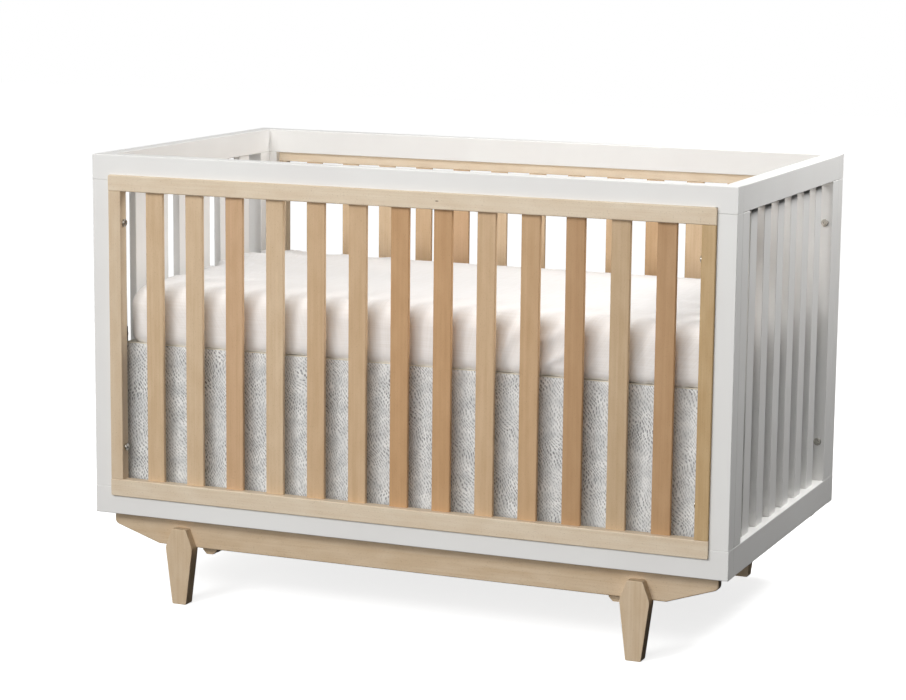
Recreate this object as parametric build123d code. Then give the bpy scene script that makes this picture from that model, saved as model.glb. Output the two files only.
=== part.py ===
"""A convertible baby crib on a raised leg base.

A white box of square frames carries a natural-wood slatted guard in its front and back,
white slatted ends, and stands on a natural-wood base of two aprons, two cross rails and
four legs that taper from a wide shoulder. Inside, a slatted mattress support hangs on steel brackets at
one of four heights, with a skirt round it and a mattress in a fitted sheet on top.

Millimetres. The origin is on the floor under the middle of the crib, +X runs along its
length, +Z is up, and the front is at -Y. Left and right, front and back mirror each other.
"""

from build123d import *
import os

# ---- driving dimensions: the white box -------------------------------------------------
BOX_LENGTH = 1400.0      # outside of one end panel to outside of the other
BOX_DEPTH = 785.0        # front face to back face
BOX_BOTTOM = 185.0       # underside of the box, above the floor
BOX_HEIGHT = 764.0       # underside of the box to the top of its rails
FRAME_THICK = 35.0       # thickness of every white rail, post and stile
TOP_RAIL = 53.0          # height of the white top rails
BOTTOM_RAIL = 59.0       # height of the white bottom rails
POST_FACE = 40.0         # width of white post that shows beside a guard
END_STILE = 45.0         # width of the end panels' stiles, measured along Y

# ---- the natural-wood guards set into the front and the back ---------------------------
GUARD_HALF = 660.0       # half the guard's outside length
GUARD_THICK = 25.0
GUARD_PROUD = 6.0        # how far a guard stands out of the white face
GUARD_TOP_RAIL = 34.0
GUARD_BOTTOM_RAIL = 37.0
GUARD_STILE = 29.0
GUARD_BOTTOM = 40.0      # guard's lower edge above the box's underside
GUARD_TOP = 723.0        # guard's upper edge above the box's underside
POST_LIP = 12.0          # how far the white frame reaches behind the guard at sides and top
GUARD_SLATS = 13
GUARD_PITCH = 93.1
GUARD_SLAT = (40.0, 9.5)     # width along X, thickness along Y
GUARD_SLAT_STEP = 2.0    # slat's inner face behind the guard rails' inner face
GUARD_CORNER = 5.0       # radius of the guard's outer corners

# ---- the end panels' slats ---------------------------------------------------------------
END_SLATS = 6
END_PITCH = 96.0
END_SLAT = (46.0, 17.0)      # width along Y, thickness along X
END_SLAT_SET_BACK = 12.0     # slat's outer face behind the end panel's outer face

# ---- the base ------------------------------------------------------------------------------
APRON_FACE = 31.0        # apron's outer face behind the white face
APRON_THICK = 22.0
APRON_HALF = 672.5
APRON_HEIGHT = 63.0
APRON_END_HEIGHT = 28.0  # height of the apron's ends, above the rise of its lower edge
APRON_RISE_AT = 566.0    # where the lower edge starts to rise towards the end
LEG_AT = 507.5           # leg's centre from the middle of the crib
LEG_FACE = 10.0          # leg's outer face behind the white face
LEG_THICK = 27.0
LEG_FOOT = 32.5          # leg's width at the floor
LEG_WIDE = 63.5          # at its shoulder
LEG_WIDE_AT = 122.0      # height of the shoulder
LEG_HEAD = 33.0          # width at its top
LEG_TOP = 163.0
CROSS_AT = 456.0         # cross rail's centre from the middle of the crib
CROSS_WIDTH = 33.0
CROSS_BOTTOM = 105.0     # underside of the cross rails above the floor
CROSS_BEVEL = 9.0
CROSS_TENON = (12.0, 40.0, 10.0)    # its tenon in the apron: along X, along Z, along Y
CROSS_TENON_UP = 6.0     # tenon's middle above the rail's middle
CLEAT = (43.0, 22.0)     # ledger inside each bottom rail: along Y, along Z

# ---- mattress support, at its highest setting ---------------------------------------------
SUPPORT_TOP = 547.0      # top of the slatted support above the floor
HEIGHT_STEP = 86.0       # between two settings
HEIGHT_SETTINGS = 4
SUPPORT_LENGTH = 1310.0
SUPPORT_DEPTH = 690.0
SUPPORT_RAIL = (40.0, 27.0)  # width and height of the support's rails
SUPPORT_SLATS = 12
SUPPORT_SLAT = (60.0, 14.0)  # width along X, thickness along Z
SLAT_SEAT = 20.0         # how far a support slat's end sits on its rail
BRACKET_AT = 330.0       # bracket's centre along Y
BRACKET_WIDTH = 26.0
BRACKET_PLATE = 3.0
BRACKET_HEIGHT = 60.0
BRACKET_REACH = 52.0     # length of the ledge under the support
BRACKET_GAP = 0.3        # running gap between a bracket and the stile it is bolted to
BRACKET_BOLT_UP = 15.0   # bracket bolt's axis above the support's top

# ---- bedding -----------------------------------------------------------------------------------
MATTRESS = (1311.0, 692.0, 120.0)
MATTRESS_CORNER = 60.0
MATTRESS_EDGE = 16.0
MATTRESS_WALL = 12.0     # quilted cover; the spring space inside is left empty
SHEET_THICK = 1.2
SHEET_TUCK = 60.0        # how far the sheet reaches in under the mattress
DECK_THICK = 1.0         # skirt's flat cloth, between the support and the mattress
SKIRT_THICK = 3.0
SKIRT_HEM = 222.0        # lower edge of the skirt above the floor
SKIRT_END_HALF = 314.0   # half the width of the end drops, which stop short of the brackets

# ---- hardware ------------------------------------------------------------------------------------
M6 = 3.0                 # radius of an M6 shank
HOLE_EASE = 0.1          # how much larger a clearance hole's radius is
HEAD = (8.0, 4.0)        # connector bolt's flanged head: radius and height
HEAD_CLEAR = 1.0         # how much larger a counterbore's radius is
HEX = (2.9, 2.6)         # its socket: radius to the hexagon's points, depth
INSERT = (5.0, 15.0)     # threaded insert: outer radius and length
HEIGHT_INSERT = (4.5, 13.0)
SCREW = (2.0, 16.0)      # wood screw's shank: radius and length
SCREW_HEAD = (4.0, 2.4)
BRACKET_SCREWS = (12.0, 32.0)    # screws' distances from the tip of a bracket's ledge
GUARD_BOLT_IN = 9.0      # guard bolts' axis behind the white face
END_BOLT_IN = 16.0       # end panel bolts' axis behind the end's outer face
BOLT_LOW = 145.0         # lower connector bolts above the box's underside
BOLT_HIGH = 622.0        # upper connector bolts above the box's underside
BASE_BOLT_AT = 326.0     # base bolts' distance from the middle along Y
BASE_COUNTERBORE = 26.0
LEG_BOLT_HEIGHTS = (132.0, 152.0)

# ---- edges ----------------------------------------------------------------------------------------
EASE_WHITE = 2.0         # rounding of the lacquered boards' long edges
EASE_WOOD = 2.5          # rounding of the natural boards' long edges
EASE_SUPPORT = 1.5
ARRIS = 0.5              # tiny chamfer where one board butts on another
LEG_ROUNDS = (26.0, 5.0, 3.0)    # radii of a leg's shoulders, head and foot, seen from the front
APRON_ROUNDS = (10.0, 11.0)      # radii where an apron's lower edge rises, and at its tips
APRON_EDGE = 3.0         # rounding of an apron's lower edges
CROSS_ROUND = 1.5        # rounding of a cross rail's lower corners
HEAD_ROUND = 1.2         # rounding of a bolt head's rim
CUT = 1.0                # how far a cutting shape reaches past the face it opens
NEAR = 0.1               # two heights this close are the same

# ---- what follows from them ------------------------------------------------------------------------
BOX_X = BOX_LENGTH / 2
BOX_Y = BOX_DEPTH / 2
BOX_TOP = BOX_BOTTOM + BOX_HEIGHT
INNER_X = BOX_X - FRAME_THICK                    # end panel's inner face
INNER_Y = BOX_Y - FRAME_THICK                    # front frame's inner face
RAIL_LOW = BOX_BOTTOM + BOTTOM_RAIL              # top of the bottom rails
RAIL_HIGH = BOX_TOP - TOP_RAIL                   # underside of the top rails
GUARD_LOW = BOX_BOTTOM + GUARD_BOTTOM
GUARD_HIGH = BOX_BOTTOM + GUARD_TOP
GUARD_FACE_Y = BOX_Y + GUARD_PROUD
GUARD_BACK_Y = GUARD_FACE_Y - GUARD_THICK
GUARD_BOLT_Y = BOX_Y - GUARD_BOLT_IN
END_BOLT_X = BOX_X - END_BOLT_IN
SLEEP_BASE = SUPPORT_TOP + DECK_THICK
BOLT_HEIGHTS = (BOX_BOTTOM + BOLT_LOW, BOX_BOTTOM + BOLT_HIGH)
SIDES = (-1, 1)

NODES = {}


def board(low, high, along, ease, arris=ARRIS):
    """A board between two corners: its long edges are rounded and its end edges just broken."""
    size = [b - a for a, b in zip(low, high)]
    wood = Pos(*low) * Box(*size, align=(Align.MIN, Align.MIN, Align.MIN))
    wood = fillet(wood.edges().filter_by(along), ease)
    ends = wood.faces().sort_by(along)
    edges = ends[0].edges() + ends[-1].edges()
    return chamfer(edges, arris)


def block(low, high):
    """A plain box between two corners, used for cutting."""
    size = [b - a for a, b in zip(low, high)]
    return Pos(*low) * Box(*size, align=(Align.MIN, Align.MIN, Align.MIN))


def rod(start, direction, radius, length):
    """A cylinder from a point along a unit direction."""
    return Plane(start, z_dir=direction) * Cylinder(
        radius, length, align=(Align.CENTER, Align.CENTER, Align.MIN)
    )


def front_or_back(solid, side):
    """The solid, which is drawn for the front (side -1), or its mirror image for the back."""
    return solid if side < 0 else mirror(solid, Plane.XZ)


def left_or_right(solid, side):
    """The solid, which is drawn for the right (side 1), or its mirror image for the left."""
    return solid if side > 0 else mirror(solid, Plane.YZ)


def corners(solid):
    """Four copies of a solid drawn for the front right corner, one for each corner."""
    return [front_or_back(left_or_right(solid, sx), sy) for sx in SIDES for sy in SIDES]


def connector_bolt(point, direction, length):
    """A bolt whose flanged head stands on a face at point, with its shank along direction."""
    back = [-d for d in direction]
    top = [p + HEAD[1] * b for p, b in zip(point, back)]
    head = rod(point, back, *HEAD)
    head = fillet(head.edges().filter_by(GeomType.CIRCLE).sort_by_distance(top)[0], HEAD_ROUND)
    socket = Plane(top, z_dir=direction) * extrude(RegularPolygon(HEX[0], 6), HEX[1])
    return head + rod(point, direction, M6, length) - socket


def insert(point, direction, size):
    """A threaded insert: a tube sunk into a face at point, along direction."""
    radius, length = size
    return rod(point, direction, radius, length) - rod(point, direction, M6 + HOLE_EASE, length)


def add(name, *solids):
    """Files one or more solids under a node's name."""
    NODES.setdefault(name, []).extend(solids)


def front_frame(side):
    """The white frame of the front or back: two full-length rails with two posts between.
    A rebate runs round its opening, and the guard sits in it."""
    word = "front" if side < 0 else "rear"
    rebate = block((-GUARD_HALF, -BOX_Y - CUT, GUARD_LOW), (GUARD_HALF, -GUARD_BACK_Y, GUARD_HIGH))
    top = board((-BOX_X, -BOX_Y, RAIL_HIGH), (BOX_X, -INNER_Y, BOX_TOP), Axis.X, EASE_WHITE)
    bottom = board((-BOX_X, -BOX_Y, BOX_BOTTOM), (BOX_X, -INNER_Y, RAIL_LOW), Axis.X, EASE_WHITE)
    add(f"{word}_top_rail", front_or_back(top - rebate, side))
    add(f"{word}_bottom_rail", front_or_back(bottom - rebate, side))
    post = board((BOX_X - POST_FACE - POST_LIP, -BOX_Y, RAIL_LOW), (BOX_X, -INNER_Y, RAIL_HIGH),
                 Axis.Z, EASE_WHITE)
    post -= rebate
    for z in BOLT_HEIGHTS:
        post -= rod((GUARD_HALF, -GUARD_BOLT_Y, z), (1, 0, 0), *INSERT)
        post -= rod((END_BOLT_X, -INNER_Y, z), (0, -1, 0), *INSERT)
    for sx, name in zip(SIDES, ("left", "right")):
        add(f"{word}_{name}_post", front_or_back(left_or_right(post, sx), side))


def guard(side):
    """A natural-wood guard: two rails, two stiles between them, and a row of slats."""
    word = "front" if side < 0 else "rear"
    face, back = -GUARD_FACE_Y, -GUARD_BACK_Y
    low_rail, high_rail = GUARD_LOW + GUARD_BOTTOM_RAIL, GUARD_HIGH - GUARD_TOP_RAIL
    outer = Pos(0, face, (GUARD_LOW + GUARD_HIGH) / 2) * Rot(90, 0, 0) * extrude(
        RectangleRounded(2 * GUARD_HALF, GUARD_HIGH - GUARD_LOW, GUARD_CORNER), -GUARD_THICK
    )
    top = board((-GUARD_HALF, face, high_rail), (GUARD_HALF, back, GUARD_HIGH), Axis.X, EASE_WOOD)
    bottom = board((-GUARD_HALF, face, GUARD_LOW), (GUARD_HALF, back, low_rail), Axis.X, EASE_WOOD)
    add(f"{word}_guard_top_rail", front_or_back(top & outer, side))
    add(f"{word}_guard_bottom_rail", front_or_back(bottom & outer, side))
    stile = board((GUARD_HALF - GUARD_STILE, face, low_rail), (GUARD_HALF, back, high_rail),
                  Axis.Z, EASE_WOOD)
    for z in BOLT_HEIGHTS:
        stile -= rod((GUARD_HALF - GUARD_STILE, -GUARD_BOLT_Y, z), (1, 0, 0),
                     M6 + HOLE_EASE, GUARD_STILE)
    for sx, name in zip(SIDES, ("left", "right")):
        add(f"{word}_guard_{name}_stile", front_or_back(left_or_right(stile, sx), side))
    width, thick = GUARD_SLAT
    inside = back - GUARD_SLAT_STEP
    for i in range(GUARD_SLATS):
        x = (i - (GUARD_SLATS - 1) / 2) * GUARD_PITCH
        slat = board((x - width / 2, inside - thick, low_rail), (x + width / 2, inside, high_rail),
                     Axis.Z, EASE_WOOD)
        add(f"{word}_guard_slats", front_or_back(slat, side))


def end_panel(side):
    """A white end: two rails between the front and back frames, two stiles and six slats."""
    word = "left" if side < 0 else "right"
    top = board((INNER_X, -INNER_Y, RAIL_HIGH), (BOX_X, INNER_Y, BOX_TOP), Axis.Y, EASE_WHITE)
    bottom = board((INNER_X, -INNER_Y, BOX_BOTTOM), (BOX_X, INNER_Y, RAIL_LOW), Axis.Y, EASE_WHITE)
    add(f"{word}_end_top_rail", left_or_right(top, side))
    add(f"{word}_end_bottom_rail", left_or_right(bottom, side))
    stile_y = INNER_Y - END_STILE
    stile = board((INNER_X, -INNER_Y, RAIL_LOW), (BOX_X, -stile_y, RAIL_HIGH), Axis.Z, EASE_WHITE)
    for z in BOLT_HEIGHTS:
        stile -= rod((END_BOLT_X, -stile_y, z), (0, -1, 0), M6 + HOLE_EASE, END_STILE)
    for z in bracket_bolt_heights():
        stile -= rod((INNER_X, -BRACKET_AT, z), (1, 0, 0), *HEIGHT_INSERT)
    for sy, name in zip(SIDES, ("front", "rear")):
        add(f"{word}_end_{name}_stile", left_or_right(front_or_back(stile, sy), side))
    width, thick = END_SLAT
    outside = BOX_X - END_SLAT_SET_BACK
    for i in range(END_SLATS):
        y = (i - (END_SLATS - 1) / 2) * END_PITCH
        slat = board((outside - thick, y - width / 2, RAIL_LOW), (outside, y + width / 2, RAIL_HIGH),
                     Axis.Z, EASE_WHITE)
        add(f"{word}_end_slats", left_or_right(slat, side))


def bracket_bolt_heights():
    """Heights of the threaded inserts for the support, from the highest setting down."""
    return [SUPPORT_TOP + BRACKET_BOLT_UP - i * HEIGHT_STEP for i in range(HEIGHT_SETTINGS)]


def leg_outline():
    """Front view of a leg about its own centre line: a long hexagon with soft shoulders."""
    half = [(LEG_FOOT / 2, 0), (LEG_WIDE / 2, LEG_WIDE_AT), (LEG_HEAD / 2, LEG_TOP)]
    points = half + [(-x, z) for x, z in reversed(half)]
    outline = make_face(Polyline(*points, close=True))
    ranked = outline.vertices().sort_by(Axis.Y)
    shoulder, head, foot = LEG_ROUNDS
    outline = fillet(ranked[2:4], shoulder)
    outline = fillet(outline.vertices().sort_by(Axis.Y)[-2:], head)
    return fillet(outline.vertices().sort_by(Axis.Y)[:2], foot)


def apron_outline():
    """Front view of an apron: straight on top, its lower edge rising to both ends."""
    bottom, end = BOX_BOTTOM - APRON_HEIGHT, BOX_BOTTOM - APRON_END_HEIGHT
    half = [(APRON_RISE_AT, bottom), (APRON_HALF, end), (APRON_HALF, BOX_BOTTOM)]
    points = half + [(-x, z) for x, z in reversed(half)]
    outline = make_face(Polyline(*points, close=True))
    rise_round, tip_round = APRON_ROUNDS
    outline = fillet(outline.vertices().sort_by(Axis.Y)[:2], rise_round)
    tips = [corner for corner in outline.vertices() if abs(corner.Y - end) < NEAR]
    return fillet(tips, tip_round)


def cross_rail_outline():
    """Section of a cross rail about its own centre line, its lower corners bevelled."""
    edge = CROSS_WIDTH / 2
    half = [(edge - CROSS_BEVEL, CROSS_BOTTOM), (edge, CROSS_BOTTOM + CROSS_BEVEL),
            (edge, BOX_BOTTOM)]
    points = half + [(-x, z) for x, z in reversed(half)]
    outline = make_face(Polyline(*points, close=True))
    return fillet(outline.vertices().sort_by(Axis.Y)[:4], CROSS_ROUND)


def upright(outline, face_y, thick):
    """A front-view outline as a board: its outer face at -face_y, its thickness inwards."""
    return Pos(0, -face_y, 0) * Rot(90, 0, 0) * extrude(outline, -thick)


def base():
    """Aprons, legs housed in them, cross rails tenoned between them, and the ledgers inside
    the box that the base is bolted up to."""
    leg_y, apron_y = BOX_Y - LEG_FACE, BOX_Y - APRON_FACE
    apron_in = apron_y - APRON_THICK
    leg = upright(leg_outline(), leg_y, LEG_THICK)
    leg = fillet(leg.faces().sort_by(Axis.Y)[0].edges(), EASE_SUPPORT)
    leg_back = leg_y - LEG_THICK
    apron = upright(apron_outline(), apron_y, APRON_THICK)
    faces = apron.faces().sort_by(Axis.Y)
    rims = faces[0].edges() + faces[-1].edges()
    apron = fillet([e for e in rims if e.center().Z < BOX_BOTTOM - NEAR], APRON_EDGE)
    for sx in SIDES:
        apron -= Pos(sx * LEG_AT, 0, 0) * upright(leg_outline(), leg_y, LEG_THICK)
        for z in LEG_BOLT_HEIGHTS:
            apron -= rod((sx * LEG_AT, -apron_in, z), (0, -1, 0), M6 + HOLE_EASE, APRON_THICK)
    for z in LEG_BOLT_HEIGHTS:
        leg -= rod((0, -leg_back, z), (0, -1, 0), M6, LEG_THICK / 2)
    tenon_x, tenon_z, tenon_y = CROSS_TENON
    tenon_mid = (CROSS_BOTTOM + BOX_BOTTOM) / 2 + CROSS_TENON_UP
    tenon = block((CROSS_AT - tenon_x / 2, -apron_in - tenon_y, tenon_mid - tenon_z / 2),
                  (CROSS_AT + tenon_x / 2, -apron_in, tenon_mid + tenon_z / 2))
    for sx in SIDES:
        apron -= left_or_right(tenon, sx)
    for sy, word in zip(SIDES, ("front", "rear")):
        add(f"{word}_apron", front_or_back(apron, sy))
        for sx, name in zip(SIDES, ("left", "right")):
            add(f"{word}_{name}_leg", front_or_back(left_or_right(Pos(LEG_AT, 0, 0) * leg, sx), sy))
        ledger = board((-GUARD_HALF, -INNER_Y, BOX_BOTTOM),
                       (GUARD_HALF, -INNER_Y + CLEAT[0], BOX_BOTTOM + CLEAT[1]), Axis.X, ARRIS * 2)
        for sx in SIDES:
            ledger -= rod((sx * CROSS_AT, -BASE_BOLT_AT, BOX_BOTTOM), (0, 0, 1), *INSERT)
        add(f"{word}_base_ledger", front_or_back(ledger, sy))
    rail = Pos(CROSS_AT, 0, 0) * upright(cross_rail_outline(), apron_in, 2 * apron_in)
    rail += [tenon, mirror(tenon, Plane.XZ)]
    head_at = CROSS_BOTTOM + BASE_COUNTERBORE
    for sy in SIDES:
        rail -= rod((CROSS_AT, sy * BASE_BOLT_AT, CROSS_BOTTOM - CUT), (0, 0, 1),
                    HEAD[0] + HEAD_CLEAR, BASE_COUNTERBORE + CUT)
        rail -= rod((CROSS_AT, sy * BASE_BOLT_AT, head_at), (0, 0, 1), M6 + HOLE_EASE,
                    BOX_BOTTOM - head_at)
    for sx, name in zip(SIDES, ("left", "right")):
        add(f"{name}_cross_rail", left_or_right(rail, sx))
    bolt = connector_bolt((CROSS_AT, -BASE_BOLT_AT, head_at), (0, 0, 1),
                          BOX_BOTTOM + INSERT[1] - head_at)
    add("base_bolts", *corners(bolt))
    reach = leg_back - apron_in + LEG_THICK / 2
    for z in LEG_BOLT_HEIGHTS:
        add("leg_bolts", *corners(connector_bolt((LEG_AT, -apron_in, z), (0, -1, 0), reach)))


def frame_hardware():
    """Bolts through the guards' and ends' stiles, and the threaded inserts that take them."""
    stile_y = INNER_Y - END_STILE
    for z in BOLT_HEIGHTS:
        guard_bolt = connector_bolt((GUARD_HALF - GUARD_STILE, -GUARD_BOLT_Y, z), (1, 0, 0),
                                    GUARD_STILE + INSERT[1])
        end_bolt = connector_bolt((END_BOLT_X, -stile_y, z), (0, -1, 0), END_STILE + INSERT[1])
        add("guard_bolts", *corners(guard_bolt))
        add("end_panel_bolts", *corners(end_bolt))
        add("frame_inserts", *corners(insert((GUARD_HALF, -GUARD_BOLT_Y, z), (1, 0, 0), INSERT)))
        add("frame_inserts", *corners(insert((END_BOLT_X, -INNER_Y, z), (0, -1, 0), INSERT)))
    add("frame_inserts", *corners(insert((CROSS_AT, -BASE_BOLT_AT, BOX_BOTTOM), (0, 0, 1), INSERT)))
    for z in bracket_bolt_heights():
        add("height_inserts", *corners(insert((INNER_X, -BRACKET_AT, z), (1, 0, 0), HEIGHT_INSERT)))


def mattress_support():
    """A slatted frame that hangs at its corners on four steel brackets."""
    rail, high = SUPPORT_RAIL
    half_x, half_y = SUPPORT_LENGTH / 2, SUPPORT_DEPTH / 2
    low = SUPPORT_TOP - high
    width, thick = SUPPORT_SLAT
    slat_low = SUPPORT_TOP - thick
    seat_y = half_y - rail + SLAT_SEAT
    long_rail = board((-half_x, -half_y, low), (half_x, -half_y + rail, SUPPORT_TOP), Axis.X,
                      EASE_SUPPORT)
    long_rail -= block((-half_x + rail, -seat_y, slat_low),
                       (half_x - rail, -half_y + rail + CUT, SUPPORT_TOP + CUT))
    end_rail = board((half_x - rail, -half_y + rail, low), (half_x, half_y - rail, SUPPORT_TOP),
                     Axis.Y, EASE_SUPPORT)
    for sy, word in zip(SIDES, ("front", "rear")):
        add(f"support_{word}_rail", front_or_back(long_rail, sy))
    for sx, word in zip(SIDES, ("left", "right")):
        add(f"support_{word}_rail", left_or_right(end_rail, sx))
    clear = 2 * (half_x - rail)
    gap = (clear - SUPPORT_SLATS * width) / (SUPPORT_SLATS + 1)
    for i in range(SUPPORT_SLATS):
        x = -clear / 2 + gap + i * (width + gap)
        slat = board((x, -seat_y, slat_low), (x + width, seat_y, SUPPORT_TOP), Axis.Y, EASE_SUPPORT)
        add("support_slats", slat)
    face = INNER_X - BRACKET_GAP
    y0, y1 = -BRACKET_AT - BRACKET_WIDTH / 2, -BRACKET_AT + BRACKET_WIDTH / 2
    ledge_low = low - BRACKET_PLATE
    plate = block((face - BRACKET_PLATE, y0, ledge_low), (face, y1, ledge_low + BRACKET_HEIGHT))
    ledge = block((face - BRACKET_REACH, y0, ledge_low), (face, y1, low))
    bracket = plate + ledge
    bolt_z = SUPPORT_TOP + BRACKET_BOLT_UP
    bracket -= rod((face - BRACKET_PLATE, -BRACKET_AT, bolt_z), (1, 0, 0), M6 + HOLE_EASE,
                   BRACKET_PLATE)
    for x in [face - BRACKET_REACH + along for along in BRACKET_SCREWS]:
        bracket -= rod((x, -BRACKET_AT, ledge_low), (0, 0, 1), SCREW[0] + HOLE_EASE, BRACKET_PLATE)
        screw = rod((x, -BRACKET_AT, ledge_low), (0, 0, 1), *SCREW)
        screw += rod((x, -BRACKET_AT, ledge_low), (0, 0, -1), *SCREW_HEAD)
        add("bracket_screws", *corners(screw))
    add("support_brackets", *corners(bracket))
    bolt = connector_bolt((face - BRACKET_PLATE, -BRACKET_AT, bolt_z), (1, 0, 0), BRACKET_PLATE)
    add("bracket_bolts", *corners(bolt))
    for name in ("support_front_rail", "support_rear_rail"):
        for screw in NODES["bracket_screws"]:
            NODES[name] = [solid - screw for solid in NODES[name]]


def cushion(size, corner, edge, low):
    """A rounded slab: plan corners of one radius, upper and lower edges of another."""
    slab = extrude(RectangleRounded(size[0], size[1], corner), size[2])
    rims = slab.faces().sort_by(Axis.Z)
    slab = fillet(rims[0].edges() + rims[-1].edges(), edge)
    return Pos(0, 0, low) * slab


def bedding():
    """The mattress, the fitted sheet round it, and the skirt that hangs from under it."""
    length, depth, thick = MATTRESS
    core = cushion(MATTRESS, MATTRESS_CORNER, MATTRESS_EDGE, SLEEP_BASE + SHEET_THICK)
    springs = cushion([side - 2 * MATTRESS_WALL for side in MATTRESS],
                      MATTRESS_CORNER - MATTRESS_WALL, MATTRESS_EDGE / 4,
                      SLEEP_BASE + SHEET_THICK + MATTRESS_WALL)
    grown = (length + 2 * SHEET_THICK, depth + 2 * SHEET_THICK, thick + 2 * SHEET_THICK)
    sheet = cushion(grown, MATTRESS_CORNER + SHEET_THICK, MATTRESS_EDGE + SHEET_THICK, SLEEP_BASE)
    sheet -= core
    sheet -= Pos(0, 0, SLEEP_BASE - CUT) * extrude(
        RectangleRounded(length - 2 * SHEET_TUCK, depth - 2 * SHEET_TUCK, MATTRESS_CORNER),
        SHEET_THICK + 2 * CUT)
    add("mattress", core - springs)
    add("fitted_sheet", sheet)
    half_x, half_y = grown[0] / 2, grown[1] / 2
    add("skirt_deck", block((-half_x, -half_y, SUPPORT_TOP), (half_x, half_y, SLEEP_BASE)))
    side = block((-half_x, -half_y - SKIRT_THICK, SKIRT_HEM), (half_x, -half_y, SLEEP_BASE))
    end = block((half_x, -SKIRT_END_HALF, SKIRT_HEM),
                (half_x + SKIRT_THICK, SKIRT_END_HALF, SLEEP_BASE))
    for sy, word in zip(SIDES, ("front", "rear")):
        add(f"{word}_skirt", front_or_back(side, sy))
    for sx, word in zip(SIDES, ("left", "right")):
        add(f"{word}_skirt", left_or_right(end, sx))


for side in SIDES:
    front_frame(side)
    guard(side)
    end_panel(side)
base()
frame_hardware()
mattress_support()
bedding()

os.makedirs("parts", exist_ok=True)
for name, solids in NODES.items():
    whole = solids[0] if len(solids) == 1 else Compound(label=name, children=solids)
    whole.label = name
    export_step(whole, f"parts/{name}.step")
print(len(NODES), "nodes")
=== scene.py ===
# %% [markdown]
# # Dressing a baby crib around its CAD frame
#
# The crib's boards, bolts and brackets come ready from a CAD model, each at its true place and
# size. This lesson adds what CAD leaves plain: the finish of every board, the printed skirt, the
# mattress, and the cotton sheet stretched over it.
#
# The frame is loaded first and never moved. Every new piece is worked out in the same metres,
# with the floor at z = 0, the crib's length along X and its front towards -Y.

# %% Load the frame
import math

import bmesh
import bpy
import numpy as np
from mathutils import Matrix, Vector


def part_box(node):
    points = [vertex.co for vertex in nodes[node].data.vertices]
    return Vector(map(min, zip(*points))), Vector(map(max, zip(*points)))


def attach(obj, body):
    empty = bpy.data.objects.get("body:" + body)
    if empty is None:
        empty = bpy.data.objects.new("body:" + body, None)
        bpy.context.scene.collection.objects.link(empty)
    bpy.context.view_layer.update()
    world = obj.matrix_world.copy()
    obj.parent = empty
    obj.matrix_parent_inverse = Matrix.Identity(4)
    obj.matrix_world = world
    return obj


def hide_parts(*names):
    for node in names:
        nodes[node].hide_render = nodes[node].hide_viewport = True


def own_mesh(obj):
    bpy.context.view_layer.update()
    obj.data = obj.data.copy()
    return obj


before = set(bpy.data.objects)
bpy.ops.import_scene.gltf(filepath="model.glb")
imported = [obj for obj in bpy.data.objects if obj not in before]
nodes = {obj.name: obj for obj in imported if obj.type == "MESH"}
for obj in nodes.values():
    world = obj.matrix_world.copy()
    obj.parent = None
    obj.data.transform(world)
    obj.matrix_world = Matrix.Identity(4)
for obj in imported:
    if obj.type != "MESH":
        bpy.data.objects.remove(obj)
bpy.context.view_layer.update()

# %% [markdown]
# ## Colours and nodes
#
# A paint chart gives a colour as a hex number, which is coded for the eye. Blender's shaders want
# the amount of light itself, so one function takes the coding off.
#
# A material is a graph of nodes. One small function adds a node, sets it up and wires it, so that
# each material below reads from top to bottom like a recipe.

# %% From a hex number to light
def light_of(hex_colour):
    """The linear red, green, blue and alpha of an sRGB hex colour such as "D8C8B0".

    Each channel c, from 0 to 1, becomes ((c + 0.055) / 1.055) to the power 2.4, or c / 12.92 in
    the darkest part of the scale."""
    coded = [int(hex_colour[i:i + 2], 16) / 255 for i in (0, 2, 4)]
    linear = [((c + 0.055) / 1.055) ** 2.4 if c > 0.04045 else c / 12.92 for c in coded]
    return (*linear, 1.0)


print("paper white is", [round(c, 3) for c in light_of("F4F2EE")])

# %% One function that adds a node
def add(material, kind, inputs=None, **settings):
    """Adds a node to a material's graph and returns it.

    Settings are the node's own properties. Inputs are its sockets, by number or by the name they
    have among those in use. Each is a value, or an output to wire in, and a node given as a value
    stands for its first output in use."""
    tree = material.node_tree
    node = tree.nodes.new("ShaderNode" + kind)
    for name, value in settings.items():
        setattr(node, name, value)
    for name, value in (inputs or {}).items():
        in_use = [socket for socket in node.inputs if socket.enabled]
        socket = in_use[name] if isinstance(name, int) else {i.name: i for i in in_use}[name]
        if isinstance(value, bpy.types.Node):
            value = [output for output in value.outputs if output.enabled][0]
        if isinstance(value, bpy.types.NodeSocket):
            tree.links.new(value, socket)
        else:
            socket.default_value = value
    return node


def new_finish(name):
    """An empty material, ready for its nodes."""
    material = bpy.data.materials.new(name)
    material.use_nodes = True
    material.node_tree.nodes.clear()
    return material


# %% [markdown]
# ## Where a pattern sits
#
# A CAD node's mesh keeps its place in the crib, so its Object coordinates are metres measured
# from the middle of the floor. A pattern on them runs on from board to board at one scale, and
# two boards never show the same streaks. A noise of scale 1 has about one blob a metre, so a
# pattern of a given size in millimetres needs as many as fit into a metre.

# %% Sizes in millimetres
MM = 0.001


def per_metre(size_mm):
    """How many patterns of a size in millimetres fit into a metre."""
    return 1 / (size_mm * MM)


def per_metre_along(axis, length, width):
    """Scales along X, Y and Z of a pattern that is long along one axis and narrow across it."""
    return [per_metre(length if name == axis else width) for name in "XYZ"]


WAVE_BANDS = 20 / math.tau                       # bands a metre in a wave texture of scale 1
DIAGONAL_BANDS = WAVE_BANDS / math.sqrt(2)       # the same where its bands run at 45 degrees


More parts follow.
